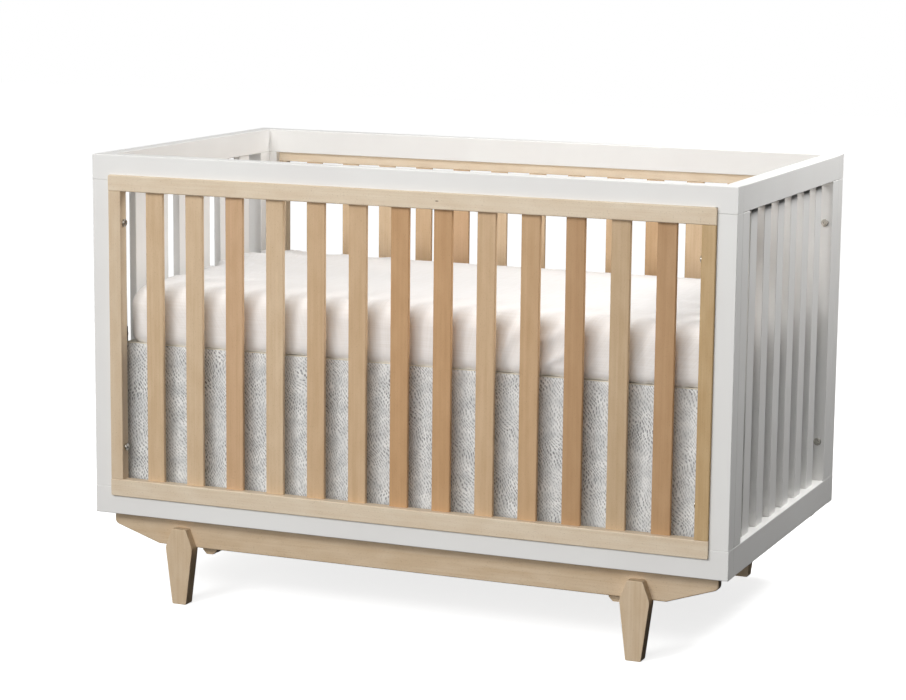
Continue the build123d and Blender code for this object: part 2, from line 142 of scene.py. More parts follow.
# %% [markdown]
# ## White boards: sprayed lacquer
#
# The box is made of solid boards, sprayed with a satin lacquer and joined flat, end against edge.
# Sprayed lacquer isn't a mirror: it dries with a very shallow skin like orange peel, and it
# pulls thin over edges. A smooth white shader would look like plastic, so the gloss varies a
# little, and a bump of a few hundredths of a millimetre breaks up its reflections.

# %% Satin white lacquer
def satin_lacquer():
    """White satin lacquer on wood: soft broad highlights, faint peel, a barely warm white."""
    lacquer = new_finish("satin_white_lacquer_sprayed")
    place = add(lacquer, "TexCoord").outputs["Object"]
    cloud = add(lacquer, "TexNoise", {"Vector": place, "Scale": per_metre(260), "Detail": 3.0})
    share = add(lacquer, "MapRange", {"Value": cloud, "From Min": 0.35, "From Max": 0.65})
    white = add(lacquer, "Mix", {"Factor": share, "A": light_of("EDEBE8"), "B": light_of("F1F0ED")},
                data_type="RGBA")
    rubbed = add(lacquer, "TexNoise", {"Vector": place, "Scale": per_metre(35), "Detail": 4.0})
    gloss = add(lacquer, "MapRange", {"Value": rubbed, "From Min": 0.3, "From Max": 0.7,
                                      "To Min": 0.36, "To Max": 0.48})
    # Real peel is about 2 mm across. It is drawn at 5 mm so that it shows.
    peel = add(lacquer, "TexNoise", {"Vector": place, "Scale": per_metre(5), "Detail": 1.0})
    skin = add(lacquer, "Bump", {"Height": peel, "Strength": 0.35, "Distance": 0.05 * MM})
    shader = add(lacquer, "BsdfPrincipled", {
        "Base Color": white, "Roughness": gloss, "Normal": skin, "IOR": 1.48,
        "Coat Weight": 0.15, "Coat Roughness": 0.28})
    add(lacquer, "OutputMaterial", {"Surface": shader})
    return lacquer


white_lacquer = satin_lacquer()
print("made", white_lacquer.name)

# %% [markdown]
# ## Natural boards: beech under a matt finish
#
# The guards, aprons and legs are beech, sanded and sealed with a clear matt finish. Beech has a
# close, straight grain: soft bands of growth a few millimetres wide, fine fibres that run for
# centimetres, short dark ray flecks, and a faint cloudy figure where the fibres wave. The clear
# finish lets the wood's own colour through and leaves a low sheen.
#
# The bands, fibres and flecks are noises of different lengths along the same direction. The
# direction is an argument, because a rail's grain runs along X and a slat's along Z.

# %% Grain
PIN_KNOT = (per_metre(5), 0.0, per_metre(1.8))    # a pin knot reaches 5 mm along, 1.8 mm across


def grain_of(wood, place, axis, shift):
    """The streaks of beech, from 0 for pale to 1 for deep: 0.42 times growth bands that wander
    a little, 0.24 times fine fibres, and 0.34 times a slanting cloudy figure."""
    moved = [shift, shift, shift]
    bands = add(wood, "Mapping", {"Vector": place, "Location": moved,
                                  "Scale": per_metre_along(axis, 420, 7)})
    bands = add(wood, "TexNoise", {"Vector": bands, "Scale": 1.0, "Detail": 3.0, "Distortion": 0.4})
    fibres = add(wood, "Mapping", {"Vector": place, "Location": moved,
                                   "Scale": per_metre_along(axis, 60, 1.5)})
    fibres = add(wood, "TexNoise", {"Vector": fibres, "Scale": 1.0, "Detail": 3.0,
                                    "Roughness": 0.6})
    figure = add(wood, "Mapping", {"Vector": place, "Rotation": [0.5, 0.5, 0.5],
                                   "Scale": per_metre_along(axis, 60, 24)})
    figure = add(wood, "TexNoise", {"Vector": figure, "Scale": 1.0, "Detail": 1.0})
    streaks = add(wood, "Math", {0: bands, 1: 0.42, 2: 0.0}, operation="MULTIPLY_ADD")
    streaks = add(wood, "Math", {0: fibres, 1: 0.24, 2: streaks}, operation="MULTIPLY_ADD")
    streaks = add(wood, "Math", {0: figure, 1: 0.34, 2: streaks}, operation="MULTIPLY_ADD")
    return add(wood, "MapRange", {"Value": streaks, "From Min": 0.36, "From Max": 0.64})


def beech(name, axis, pale, deep, slat_tint=None, shift=0.0, knot=None):
    """Clear-finished beech. Pale and deep are the wood between its streaks and in them. Slat_tint
    is a function that tints each slat as the board it was sawn from. Knot is where a small brown
    pin knot sits."""
    wood = new_finish(name)
    place = add(wood, "TexCoord").outputs["Object"]
    streaks = grain_of(wood, place, axis, shift)
    colour = add(wood, "Mix", {"Factor": streaks, "A": light_of(pale), "B": light_of(deep)},
                 data_type="RGBA")
    if slat_tint is not None:
        colour = add(wood, "Mix", {"Factor": 1.0, "A": colour, "B": slat_tint(wood, place)},
                     data_type="RGBA", blend_type="MULTIPLY")
    # Ray flecks are about 3 mm long and 0.4 mm wide. They are drawn 0.9 mm wide to show.
    flecks = add(wood, "Mapping", {"Vector": place, "Scale": per_metre_along(axis, 3.6, 0.9)})
    flecks = add(wood, "TexNoise", {"Vector": flecks, "Scale": 1.0, "Detail": 0.0})
    flecks = add(wood, "MapRange", {"Value": flecks, "From Min": 0.7, "From Max": 0.78,
                                    "To Min": 0.0, "To Max": 0.3})
    colour = add(wood, "Mix", {"Factor": flecks, "A": colour, "B": light_of("8A6A48")},
                 data_type="RGBA")
    if knot is not None:
        pin = add(wood, "VectorMath", {0: place, 1: knot}, operation="SUBTRACT")
        pin = add(wood, "VectorMath", {0: pin, 1: PIN_KNOT}, operation="MULTIPLY")
        pin = add(wood, "VectorMath", {0: pin}, operation="LENGTH").outputs["Value"]
        pin = add(wood, "MapRange", {"Value": pin, "From Min": 1.0, "From Max": 0.4,
                                     "To Min": 0.0, "To Max": 0.8})
        colour = add(wood, "Mix", {"Factor": pin, "A": colour, "B": light_of("6E4A2C")},
                     data_type="RGBA")
    gloss = add(wood, "MapRange", {"Value": streaks, "To Min": 0.46, "To Max": 0.58})
    pores = add(wood, "Bump", {"Height": streaks, "Strength": 0.3, "Distance": 0.1 * MM})
    shader = add(wood, "BsdfPrincipled", {
        "Base Color": colour, "Roughness": gloss, "Normal": pores, "IOR": 1.5,
        "Coat Weight": 0.06, "Coat Roughness": 0.4})
    add(wood, "OutputMaterial", {"Surface": shader})
    return wood


# %% [markdown]
# ## Thirteen slats from different boards
#
# A maker saws slats from whatever boards are on the rack, so neighbours differ: some are pale,
# some honey, a few reddish or brown. All thirteen slats of a guard are one CAD node, so the tint
# can't come from the object. It comes from the place: the distance along the crib, counted in
# slats, picks a step of a colour ramp. The deep tint of the front guard's last slat on the right
# is partly a darker board and partly painted shade, where the light falls off to the right.

# %% Count the slats along the guard
slats_low, slats_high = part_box("front_guard_slats")
SLAT_COUNT = 13
SLAT_WIDTH = 40 * MM
slat_pitch = (slats_high.x - slats_low.x - SLAT_WIDTH) / (SLAT_COUNT - 1)
print("slat pitch", round(slat_pitch / MM, 1), "mm")

BOARD_TINTS = {"pale": "FBF5EC", "cream": "F8F0E4", "honey": "F3E6D5", "rosy": "F1DECB",
               "tan": "EBD8C0", "brown": "E7CCAD", "deep": "DCC3A6", "grey": "EAE1D2"}
# The last step, deep, is partly painted shade at the right end of the front guard.
FRONT_BOARDS = "cream pale rosy pale honey honey brown brown honey tan deep grey deep".split()
REAR_BOARDS = "honey cream pale honey rosy pale cream pale honey tan cream honey tan".split()


def tint_by_slat(boards):
    """A function that adds the ramp of tints, one even step for each slat from the left."""
    def tint(wood, place):
        x = add(wood, "SeparateXYZ", {"Vector": place})
        share = add(wood, "Math", {0: x, 1: 1 / (SLAT_COUNT * slat_pitch), 2: 0.5},
                    operation="MULTIPLY_ADD")
        ramp = add(wood, "ValToRGB", {"Fac": share})
        steps = ramp.color_ramp
        steps.interpolation = "CONSTANT"
        for i, board in enumerate(boards):
            step = steps.elements[i] if i < 2 else steps.elements.new(i / SLAT_COUNT)
            step.position = i / SLAT_COUNT
            step.color = light_of(BOARD_TINTS[board])
        return ramp
    return tint


# %% The natural boards' finishes
RAIL_PALE, RAIL_DEEP = "E8D8C0", "DDC8AC"
SLAT_PALE, SLAT_DEEP = "E2CCB0", "D4BB9B"
BASE_PALE, BASE_DEEP = "DFC9AC", "CFB491"
beech_rail = beech("beech_rail_matt_sealed", "X", RAIL_PALE, RAIL_DEEP)
guard_low, guard_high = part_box("front_guard_top_rail")
beech_knotty_rail = beech("beech_rail_with_pin_knot_matt_sealed", "X", RAIL_PALE, RAIL_DEEP,
                          knot=(0.085, guard_low.y, (guard_low.z + guard_high.z) / 2))
beech_stile = beech("beech_stile_matt_sealed", "Z", RAIL_DEEP, SLAT_DEEP, shift=3.1)
# The right stile's deeper, warmer colour is partly a darker board and partly painted shade, where the
# light falls off towards the crib's right end.
beech_stile_darker_board_and_painted_shade = beech("beech_warm_stile_matt_sealed", "Z", "CFB184", "BE9C6C", shift=8.3)
beech_front_slat = beech("beech_front_slat_matt_sealed", "Z", SLAT_PALE, SLAT_DEEP,
                         tint_by_slat(FRONT_BOARDS), 5.7)
beech_rear_slat = beech("beech_rear_slat_matt_sealed", "Z", SLAT_PALE, SLAT_DEEP,
                        tint_by_slat(REAR_BOARDS), 9.2)
beech_apron = beech("beech_apron_matt_sealed", "X", BASE_PALE, BASE_DEEP, shift=7.9)
beech_leg = beech("beech_leg_matt_sealed", "Z", BASE_PALE, BASE_DEEP, shift=1.6)
beech_cross = beech("beech_cross_rail_matt_sealed", "Y", BASE_PALE, BASE_DEEP, shift=4.4)
pine_rail = beech("pine_support_rail_sanded", "X", "E3CFA8", "D3B988", shift=2.3)
pine_slat = beech("pine_support_slat_sanded", "Y", "E6D4B0", "D8C092", shift=6.8)
print("made eleven finishes for natural boards")

# %% [markdown]
# ## Metal: plated bolts, inserts and pressed brackets
#
# The bolts are nickel-plated, bright and slightly warm. The brackets are pressed steel with a
# zinc coat, which dries in dull and bright patches. Plating is thin, so the only relief is a
# faint roughness from tumbling.

# %% Plated metal
def plated(name, bright, dull, smooth, rough, patch_mm):
    """A plated metal whose colour and gloss drift between two patches of a given size."""
    metal = new_finish(name)
    place = add(metal, "TexCoord").outputs["Object"]
    patch = add(metal, "TexNoise", {"Vector": place, "Scale": per_metre(patch_mm), "Detail": 3.0})
    share = add(metal, "MapRange", {"Value": patch, "From Min": 0.35, "From Max": 0.65})
    colour = add(metal, "Mix", {"Factor": share, "A": light_of(bright), "B": light_of(dull)},
                 data_type="RGBA")
    gloss = add(metal, "MapRange", {"Value": share, "To Min": smooth, "To Max": rough})
    grit = add(metal, "TexNoise", {"Vector": place, "Scale": per_metre(0.8), "Detail": 1.0})
    relief = add(metal, "Bump", {"Height": grit, "Strength": 0.2, "Distance": 0.02 * MM})
    shader = add(metal, "BsdfPrincipled", {"Base Color": colour, "Roughness": gloss,
                                           "Normal": relief, "Metallic": 1.0})
    add(metal, "OutputMaterial", {"Surface": shader})
    return metal


nickel_bolt = plated("nickel_plated_bolt_steel", "C9C6BF", "B2AEA6", 0.22, 0.34, 6)
zinc_insert = plated("zinc_plated_insert_steel", "C3C0B2", "A7A395", 0.35, 0.5, 5)
zinc_bracket = plated("zinc_coated_bracket_steel", "B9BBBD", "989B9F", 0.38, 0.55, 9)

# %% Give every board and fitting its finish
BY_WORD = {"apron": beech_apron, "leg": beech_leg, "cross": beech_cross, "ledger": pine_rail,
           "brackets": zinc_bracket, "inserts": zinc_insert, "screws": nickel_bolt}
ONE_BOARD = {"front_guard_top_rail": beech_knotty_rail, "front_guard_right_stile": beech_stile_darker_board_and_painted_shade}


def finish_of(name):
    """The material of a CAD node, by the words in its name."""
    words = name.split("_")
    if "bolts" in words:
        return nickel_bolt
    if name in ONE_BOARD:
        return ONE_BOARD[name]
    if "guard" in words:
        if "slats" in words:
            return beech_front_slat if words[0] == "front" else beech_rear_slat
        return beech_stile if "stile" in words else beech_rail
    for word, material in BY_WORD.items():
        if word in words:
            return material
    if words[0] == "support":
        return pine_rail if words[1] in ("front", "rear") else pine_slat
    return white_lacquer


for name, board in nodes.items():
    board.data.materials.clear()
    board.data.materials.append(finish_of(name))
print("finished", len(nodes), "CAD nodes")

# %% [markdown]
# ## Putting a grid into a mesh
#
# Each soft piece is a surface worked out as whole arrays: X, Y and Z on a grid of rows and
# columns. Numpy also numbers the grid's corners, so every square is made at once. The cloth's own
# coordinates, in metres along and across the weave, go in as its UV map, so that a print or a
# weave bends with the cloth.

# %% A cloth grid
def grid_mesh(name, points, cloth):
    """A mesh from an array of points with rows and columns, with the cloth's own coordinates."""
    rows, columns = points.shape[:2]
    corner = np.arange(rows * columns).reshape(rows, columns)
    squares = np.stack([corner[:-1, :-1], corner[:-1, 1:], corner[1:, 1:], corner[1:, :-1]], -1)
    mesh = bpy.data.meshes.new(name)
    mesh.from_pydata(points.reshape(-1, 3), [], squares.reshape(-1, 4).tolist())
    layer = mesh.uv_layers.new(name="cloth")
    loop_corner = np.empty(len(mesh.loops), np.int32)
    mesh.loops.foreach_get("vertex_index", loop_corner)
    layer.data.foreach_set("uv", cloth.reshape(-1, 2)[loop_corner].ravel())
    mesh.polygons.foreach_set("use_smooth", np.ones(len(mesh.polygons), bool))
    piece = bpy.data.objects.new(name, mesh)
    bpy.context.scene.collection.objects.link(piece)
    return piece


def thicken(piece, thickness):
    """Gives a cloth its thickness, half to each side, and closes its rim."""
    wall = piece.modifiers.new("thickness", "SOLIDIFY")
    wall.thickness = thickness
    wall.offset = 0.0


def ease(value):
    """Rises smoothly from 0 to 1 as value does: 3 v squared less 2 v cubed."""
    value = np.clip(value, 0, 1)
    return value * value * (3 - 2 * value)


# %% [markdown]
# ## The skirt
#
# A crib skirt is a flat cloth that lies between the support and the mattress, with a printed drop
# hanging from each edge. It could be simulated, but a short, lightly gathered drop hangs almost
# straight: soft folds start at nothing along the top and deepen to the hem, and the space between
# it and the box is narrow. So its folds are a formula: three waves of unlike length, whose places
# wander, scaled by how far down the cloth is.
#
# The hem is the cloth turned up and stitched, so the lowest part stands a little proud.

# %% Measure the room for the skirt
skirt_low, skirt_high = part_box("front_skirt")
end_low, end_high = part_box("right_skirt")
rail_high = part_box("front_bottom_rail")[1]
SKIRT_STEP = 7 * MM
HEM = 16 * MM
CLOTH = 0.9 * MM
print("skirt drop", round((skirt_high.z - skirt_low.z) / MM), "mm, room in front",
      round((skirt_low.y - rail_high.y) / MM, 1), "mm")


# %% A drop of the skirt
def folds(u, seed):
    """Waves along the cloth between -1 and 1: sines of 230, 127 and 74 mm, each bent by two
    longer ones so that no two folds are alike."""
    wander = 0.09 * np.sin(u / 0.37 + seed) + 0.04 * np.sin(u / 0.21 + 2.3 * seed)
    return (0.52 * np.sin(2 * np.pi * (u + wander) / 0.230 + seed)
            + 0.30 * np.sin(2 * np.pi * (u - wander) / 0.127 + 1.7 * seed)
            + 0.18 * np.sin(2 * np.pi * (u + 0.5 * wander) / 0.074 + 3.1 * seed))


def drop(name, half_width, low, high, seed, fold_depth=5.5 * MM):
    """One drop, drawn as if it hung at y = 0 and faced -Y. Along it u runs sideways and v down.

    With s for the share of the way down, a point moves out of the flat by its folds times the
    root of s times 0.35 + 0.65 s, and sideways by a cosine of its place times the same. Small
    tucks fade from the top, and the hem stands proud by half a millimetre."""
    columns = int(round(2 * half_width / SKIRT_STEP)) + 1
    rows = int(round((high - low) / SKIRT_STEP)) + 1
    u, v = np.meshgrid(np.linspace(-half_width, half_width, columns),
                       np.linspace(0, high - low, rows))
    share = v / (high - low)
    depth = fold_depth * np.sqrt(share) * (0.35 + 0.65 * share)
    wave = folds(u + 0.02 * share * np.sin(u / 0.3 + seed), seed)
    tucks = 0.5 * MM * np.sin(2 * np.pi * u / 0.031 + 4 * folds(u, seed + 1)) * (1 - share) ** 6
    hem = 0.5 * MM * ease((v - (high - low - HEM)) / (1.5 * MM))
    y = depth * wave + tucks - hem
    x = u + 0.6 * depth * np.cos(2 * np.pi * u / 0.230 + seed)
    x = np.clip(x, -half_width, half_width)
    return np.stack([x, y, high - v], -1), np.stack([u, high - v], -1)


def turned(points, quarter_turns):
    """Points turned about the Z axis by whole quarter turns."""
    for _ in range(quarter_turns):
        points = np.stack([-points[..., 1], points[..., 0], points[..., 2]], -1)
    return points


# %% [markdown]
# ## The skirt's print
#
# The cotton is printed with small slanted dashes in staggered rows, like scales. The rows sway,
# the dashes lean more in one patch than in the next, and the ink is uneven. Each dash sits in one
# cell of a Voronoi pattern that is only a little random. The distance from the cell's middle,
# along and across the slant, gives the dash its shape.

# %% Printed cotton
DASH_PITCH = (5.6, 6.4)   # millimetres between dashes along a row, and between rows
DASH_SHAPE = (3.7, 1.75, 0.0)    # one over a dash's half width and half length, in cells
ROW_SWAY = 26 * MM        # how far the rows wander, from the noise's 0 to its 1
THREAD_PITCH = 2.375      # millimetres between drawn threads


def printed_cotton():
    """Plain-woven cotton printed in grey ink: matt and pale, with rows of leaning dashes."""
    cotton = new_finish("printed_skirt_cotton_plain_weave")
    cloth = add(cotton, "UVMap", uv_map="cloth")
    sway = add(cotton, "TexNoise", {"Vector": cloth, "Scale": per_metre(48), "Detail": 1.0})
    sway = add(cotton, "VectorMath", {0: sway.outputs["Color"], "Scale": ROW_SWAY},
               operation="SCALE")
    swayed = add(cotton, "VectorMath", {0: cloth, 1: sway}, operation="ADD")
    cells = add(cotton, "Mapping", {"Vector": swayed, "Rotation": (0, 0, math.radians(-38)),
                                    "Scale": [per_metre(DASH_PITCH[0]), per_metre(DASH_PITCH[1]), 1]})
    cell = add(cotton, "TexVoronoi", {"Vector": cells, "Scale": 1.0, "Randomness": 0.42},
               voronoi_dimensions="2D")
    within = add(cotton, "VectorMath", {0: cells, 1: cell.outputs["Position"]},
                 operation="SUBTRACT")
    patch = add(cotton, "TexNoise", {"Vector": cloth, "Scale": per_metre(60), "Detail": 2.0})
    lean = add(cotton, "MapRange", {"Value": patch, "From Min": 0.35, "From Max": 0.65,
                                    "To Min": math.radians(42), "To Max": math.radians(-8)})
    slanted = add(cotton, "VectorRotate", {"Vector": within, "Angle": lean},
                  rotation_type="Z_AXIS")
    dash = add(cotton, "VectorMath", {0: slanted, 1: DASH_SHAPE}, operation="MULTIPLY")
    dash = add(cotton, "VectorMath", {0: dash}, operation="LENGTH").outputs["Value"]
    dash = add(cotton, "MapRange", {"Value": dash, "From Min": 1.0, "From Max": 0.55})
    cloud = add(cotton, "TexNoise", {"Vector": cloth, "Scale": per_metre(70), "Detail": 3.0,
                                     "Roughness": 0.6})
    cloud = add(cotton, "MapRange", {"Value": cloud, "From Min": 0.3, "From Max": 0.68,
                                     "To Min": 0.3, "To Max": 1.0})
    own = add(cotton, "SeparateColor", {"Color": cell.outputs["Color"]})
    own = add(cotton, "MapRange", {"Value": own, "To Min": 0.55, "To Max": 1.0})
    ink = add(cotton, "Math", {0: dash, 1: cloud}, operation="MULTIPLY")
    ink = add(cotton, "Math", {0: ink, 1: own}, operation="MULTIPLY")
    wash = add(cotton, "TexNoise", {"Vector": cloth, "Scale": per_metre(26), "Detail": 4.0})
    wash = add(cotton, "MapRange", {"Value": wash, "From Min": 0.35, "From Max": 0.65})
    ground = add(cotton, "Mix", {"Factor": wash, "A": light_of("EFF0EF"), "B": light_of("D6D8D8")},
                 data_type="RGBA")
    colour = add(cotton, "Mix", {"Factor": ink, "A": ground, "B": light_of("727176")},
                 data_type="RGBA")
    # A thread of this cotton is about 0.35 mm. The weave is drawn at 2.4 mm so that it shows.
    threads = per_metre(THREAD_PITCH) / WAVE_BANDS
    warp = add(cotton, "TexWave", {"Vector": cloth, "Scale": threads}, bands_direction="X")
    weft = add(cotton, "TexWave", {"Vector": cloth, "Scale": threads}, bands_direction="Y")
    weave = add(cotton, "Math", {0: warp.outputs["Fac"], 1: weft.outputs["Fac"]},
                operation="MULTIPLY")
    relief = add(cotton, "Bump", {"Height": weave, "Strength": 0.25, "Distance": 0.15 * MM})
    shader = add(cotton, "BsdfPrincipled", {
        "Base Color": colour, "Normal": relief, "Roughness": 0.85, "IOR": 1.46,
        "Sheen Weight": 0.15, "Sheen Roughness": 0.5})
    add(cotton, "OutputMaterial", {"Surface": shader})
    return cotton


skirt_cotton = printed_cotton()

# %% Hang the four drops
LONG_FACE = (abs(skirt_low.y) + abs(skirt_high.y)) / 2
END_FACE = (end_low.x + end_high.x) / 2
HUNG_INSIDE = 3 * MM     # how far inside the plain CAD drop's middle each drop hangs
half_long, half_short = skirt_high.x - MM, end_high.y

drops = {}
for name, turns, half, out, seed in (("front_skirt", 0, half_long, LONG_FACE, 0.4),
                                     ("right_skirt", 1, half_short, END_FACE, 1.9),
                                     ("rear_skirt", 2, half_long, LONG_FACE, 3.0),
                                     ("left_skirt", 3, half_short, END_FACE, 4.6)):
    points, cloth = drop(name, half, skirt_low.z, skirt_high.z - MM, seed)
    points[..., 1] -= out - HUNG_INSIDE
    piece = grid_mesh(name + "_cloth", turned(points, turns), cloth)
    thicken(piece, CLOTH)
    piece.data.materials.append(skirt_cotton)
    drops[name] = piece
    print(piece.name, points.shape[0], "x", points.shape[1], "points")

# %% [markdown]
# ## The skirt's flat cloth
#
# Between the support and the mattress lies the plain muslin that the drops are sewn to. Weight
# presses it flat on the slats and lets it sag a hair's breadth between them, so it is a grid that
# dips by the cube of a cosine wave from slat to slat.

# %% Lay the deck
deck_low, deck_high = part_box("skirt_deck")
DECK_STEP = 12 * MM
DECK_CLOTH = 0.5 * MM
DECK_SAG = 0.9 * MM
DECK_EDGE = 80 * MM      # the sag grows from nothing over this stretch in from the edges
SUPPORT_SLAT = 60 * MM
SUPPORT_GAPS = 11


def deck_cloth():
    """The flat cloth: level at its edges, dipping between the support's slats."""
    half_x, half_y = deck_high.x - MM, deck_high.y - MM
    x, y = np.meshgrid(np.arange(-half_x, half_x + DECK_STEP / 2, DECK_STEP),
                       np.arange(-half_y, half_y + DECK_STEP / 2, DECK_STEP))
    x, y = np.minimum(x, half_x), np.minimum(y, half_y)
    slat_low, slat_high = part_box("support_slats")
    pitch = (slat_high.x - slat_low.x - SUPPORT_SLAT) / SUPPORT_GAPS
    between = 0.5 - 0.5 * np.cos(2 * np.pi * (x - slat_low.x - SUPPORT_SLAT / 2) / pitch)
    inside = ease((half_y - np.abs(y)) / DECK_EDGE) * ease((half_x - np.abs(x)) / DECK_EDGE)
    z = (deck_low.z + deck_high.z) / 2 - DECK_SAG * between ** 3 * inside
    return np.stack([x, y, z], -1), np.stack([x, y], -1)


deck = grid_mesh("skirt_deck_cloth", *deck_cloth())
thicken(deck, DECK_CLOTH)
print("deck", len(deck.data.polygons), "squares")

# %% [markdown]
# ## A profile carried round the mattress
#
# A mattress and its sheet are one profile carried round a rounded rectangle. A plain sweep would
# leave a pinched pole in the middle. Here the points form one square grid instead. Its rings,
# counted in from its rim, are the steps of the profile, so the middle of the top is an even grid
# and nothing is pinched.
#
# The profile itself is straight runs joined by quarter circles, sampled at even steps.

# %% Straight runs and quarter circles
def rounded_path(corners, radii, count):
    """Even steps along straight runs whose right-angled corners are quarter circles.

    A corner's circle leaves the first run at its radius before the corner and joins the second
    at the same distance past it: the point moves by sine along the first run and by one minus
    cosine along the second."""
    corners = np.array(corners)
    turn = np.linspace(0, np.pi / 2, 24)[:, None]
    dense = [corners[:1]]
    for i, radius in enumerate(radii, start=1):
        into = (corners[i] - corners[i - 1]) / np.linalg.norm(corners[i] - corners[i - 1])
        out = (corners[i + 1] - corners[i]) / np.linalg.norm(corners[i + 1] - corners[i])
        dense.append(corners[i] - into * radius * (1 - np.sin(turn))
                     + out * radius * (1 - np.cos(turn)))
    dense = np.concatenate(dense + [corners[-1:]])
    length = np.concatenate([[0], np.cumsum(np.linalg.norm(np.diff(dense, axis=0), axis=1))])
    even = np.linspace(0, length[-1], count)
    return np.stack([np.interp(even, length, dense[:, i]) for i in (0, 1)], -1)


def ring_grid(half_x, half_y, corner, profile, step):
    """Points of a grid whose rings follow a profile of (inset, height) round a rectangle.

    The rectangle's corners are arcs. A point on a ring lies at an even share of the way from the
    middle of its side to the middle of the corner's arc: past the straight stretch it turns."""
    inset, height = profile[:, 0], profile[:, 1]
    rings = len(profile) - 1
    extra = int(round((half_x - half_y) / step))
    p, q = np.meshgrid(np.arange(-rings - extra, rings + extra + 1), np.arange(-rings, rings + 1))
    along, across = rings + extra - np.abs(p), rings - np.abs(q)
    ring = np.minimum(along, across)
    a, b = half_x - inset[ring], half_y - inset[ring]
    r = np.clip(corner - inset[ring], 1e-9, None)

    def side(steps, count, half_along, half_across):
        """Places along one side, and how far out it lies, for a share of steps out of count."""
        s = steps / np.maximum(count, 1) * (half_along - r + np.pi / 4 * r)
        turn = np.clip(np.abs(s) - (half_along - r), 0, None) / r
        straight = np.minimum(np.abs(s), half_along - r)
        return np.sign(s) * (straight + r * np.sin(turn)), half_across - r * (1 - np.cos(turn))

    x_long, y_long = side(p, rings + extra - ring, a, b)
    y_end, x_end = side(q, rings - ring, b, a)
    x = np.where(along < across, np.sign(p) * x_end, x_long)
    y = np.where(along < across, y_end, np.sign(q) * y_long)
    return np.stack([x, y, height[ring]], -1), np.stack([p * step, q * step], -1)


# %% [markdown]
# ## The mattress
#
# Inside the sheet is a sprung crib mattress in woven ticking, quilted in diamonds. Its upper edge
# is rounder than its lower one, because padding lies on top of the springs, and its side swells a
# little. An upper and a lower grid share one rim at half height, and merging the rims closes the
# shell. The quilting is real relief: the cover sinks along two sets of crossing lines.

# %% Size the mattress from the frame
core_low, core_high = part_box("mattress")
CORNER = 55 * MM
UPPER_ROUND, LOWER_ROUND = 42 * MM, 20 * MM
SWELL = 3 * MM
QUILT = 95 * MM
QUILT_SINK = 1.8 * MM
QUILT_EDGE = 90 * MM     # the quilting fades out over this stretch in from the edges
PAD_RINGS = 42
RING_STRETCH = 1.12      # how much wider a column is than the half width shared over the rings
core_half = (core_high.x - SWELL - MM, core_high.y - SWELL - MM)
print("mattress", [round(side / MM) for side in (core_high - core_low)], "mm")


# %% Build the mattress
def mattress_half(edge_z, radius):
    """The upper or lower half of the cover, from the rim at half height to the middle line."""
    middle = (core_low.z + core_high.z) / 2
    profile = rounded_path([(0, middle), (0, edge_z), (core_half[1], edge_z)], [radius], PAD_RINGS)
    rise = (profile[:, 1] - core_low.z) / (core_high.z - core_low.z)
    profile[:, 0] -= SWELL * np.sin(np.pi * rise) * (profile[:, 0] < radius)
    points, cloth = ring_grid(*core_half, CORNER, profile, core_half[1] / PAD_RINGS * RING_STRETCH)
    x, y = points[..., 0], points[..., 1]
    inner = (ease((core_half[0] - np.abs(x)) / QUILT_EDGE)
             * ease((core_half[1] - np.abs(y)) / QUILT_EDGE))
    line = np.minimum(np.abs(np.sin(np.pi * (x + y) / QUILT)),
                      np.abs(np.sin(np.pi * (x - y) / QUILT)))
    sink = QUILT_SINK * np.exp(-(line / 0.18) ** 2) * inner
    points[..., 2] += np.where(edge_z > middle, -sink, sink)
    return points, cloth


def mattress_shell():
    """The two halves as one closed mesh."""
    halves = [grid_mesh("mattress_half", *mattress_half(edge, radius))
              for edge, radius in ((core_high.z - MM, UPPER_ROUND), (core_low.z, LOWER_ROUND))]
    whole = bpy.data.meshes.new("mattress_core")
    shell = bmesh.new()
    for half in halves:
        shell.from_mesh(half.data)
        bpy.data.objects.remove(half)
    bmesh.ops.remove_doubles(shell, verts=shell.verts, dist=0.05 * MM)
    bmesh.ops.recalc_face_normals(shell, faces=shell.faces)
    shell.to_mesh(whole)
    shell.free()
    piece = bpy.data.objects.new("mattress_core", whole)
    bpy.context.scene.collection.objects.link(piece)
    return piece


mattress = mattress_shell()
print("mattress", len(mattress.data.polygons), "faces")

# %% Woven ticking
STRIPE_PITCH = 47.5       # millimetres between stripes
TWILL_PITCH = 3.919       # millimetres between the twill's ribs


def woven_ticking():
    """Cotton ticking: a tight matt twill with thin blue-grey stripes."""
    ticking = new_finish("woven_mattress_ticking")
    place = add(ticking, "TexCoord").outputs["Object"]
    stripe = add(ticking, "TexWave", {"Vector": place,
                                      "Scale": per_metre(STRIPE_PITCH) / WAVE_BANDS},
                 bands_direction="Y").outputs["Fac"]
    stripe = add(ticking, "MapRange", {"Value": stripe, "From Min": 0.93, "From Max": 0.97})
    colour = add(ticking, "Mix", {"Factor": stripe, "A": light_of("ECEAE4"),
                                  "B": light_of("A9B2BE")}, data_type="RGBA")
    # A twill's ribs are about 0.8 mm apart. They are drawn at 3.9 mm so that they show.
    twill = add(ticking, "TexWave", {"Vector": place,
                                     "Scale": per_metre(TWILL_PITCH) / DIAGONAL_BANDS},
                bands_direction="DIAGONAL").outputs["Fac"]
    relief = add(ticking, "Bump", {"Height": twill, "Strength": 0.25, "Distance": 0.15 * MM})
    shader = add(ticking, "BsdfPrincipled", {"Base Color": colour, "Normal": relief,
                                             "Roughness": 0.88, "IOR": 1.46, "Sheen Weight": 0.1})
    add(ticking, "OutputMaterial", {"Surface": shader})
    return ticking


mattress.data.materials.append(woven_ticking())

# %% [markdown]
# ## The fitted sheet
#
# A fitted sheet is a cotton cloth a little larger than the mattress, gathered by elastic under
# it. Pulled from below, it lies smooth over the middle of the top and creases where cloth is
# spare: folds that run in from the ends, slanting creases and upright tucks on the sides.
#
# Where a crease lies depends on how the sheet was pulled on, so the sheet is cut with spare cloth
# laid in soft ridges at chosen spots. How a crease falls is a matter of weight and stiffness, so
# Blender's Cloth then lets the sheet settle on the mattress.

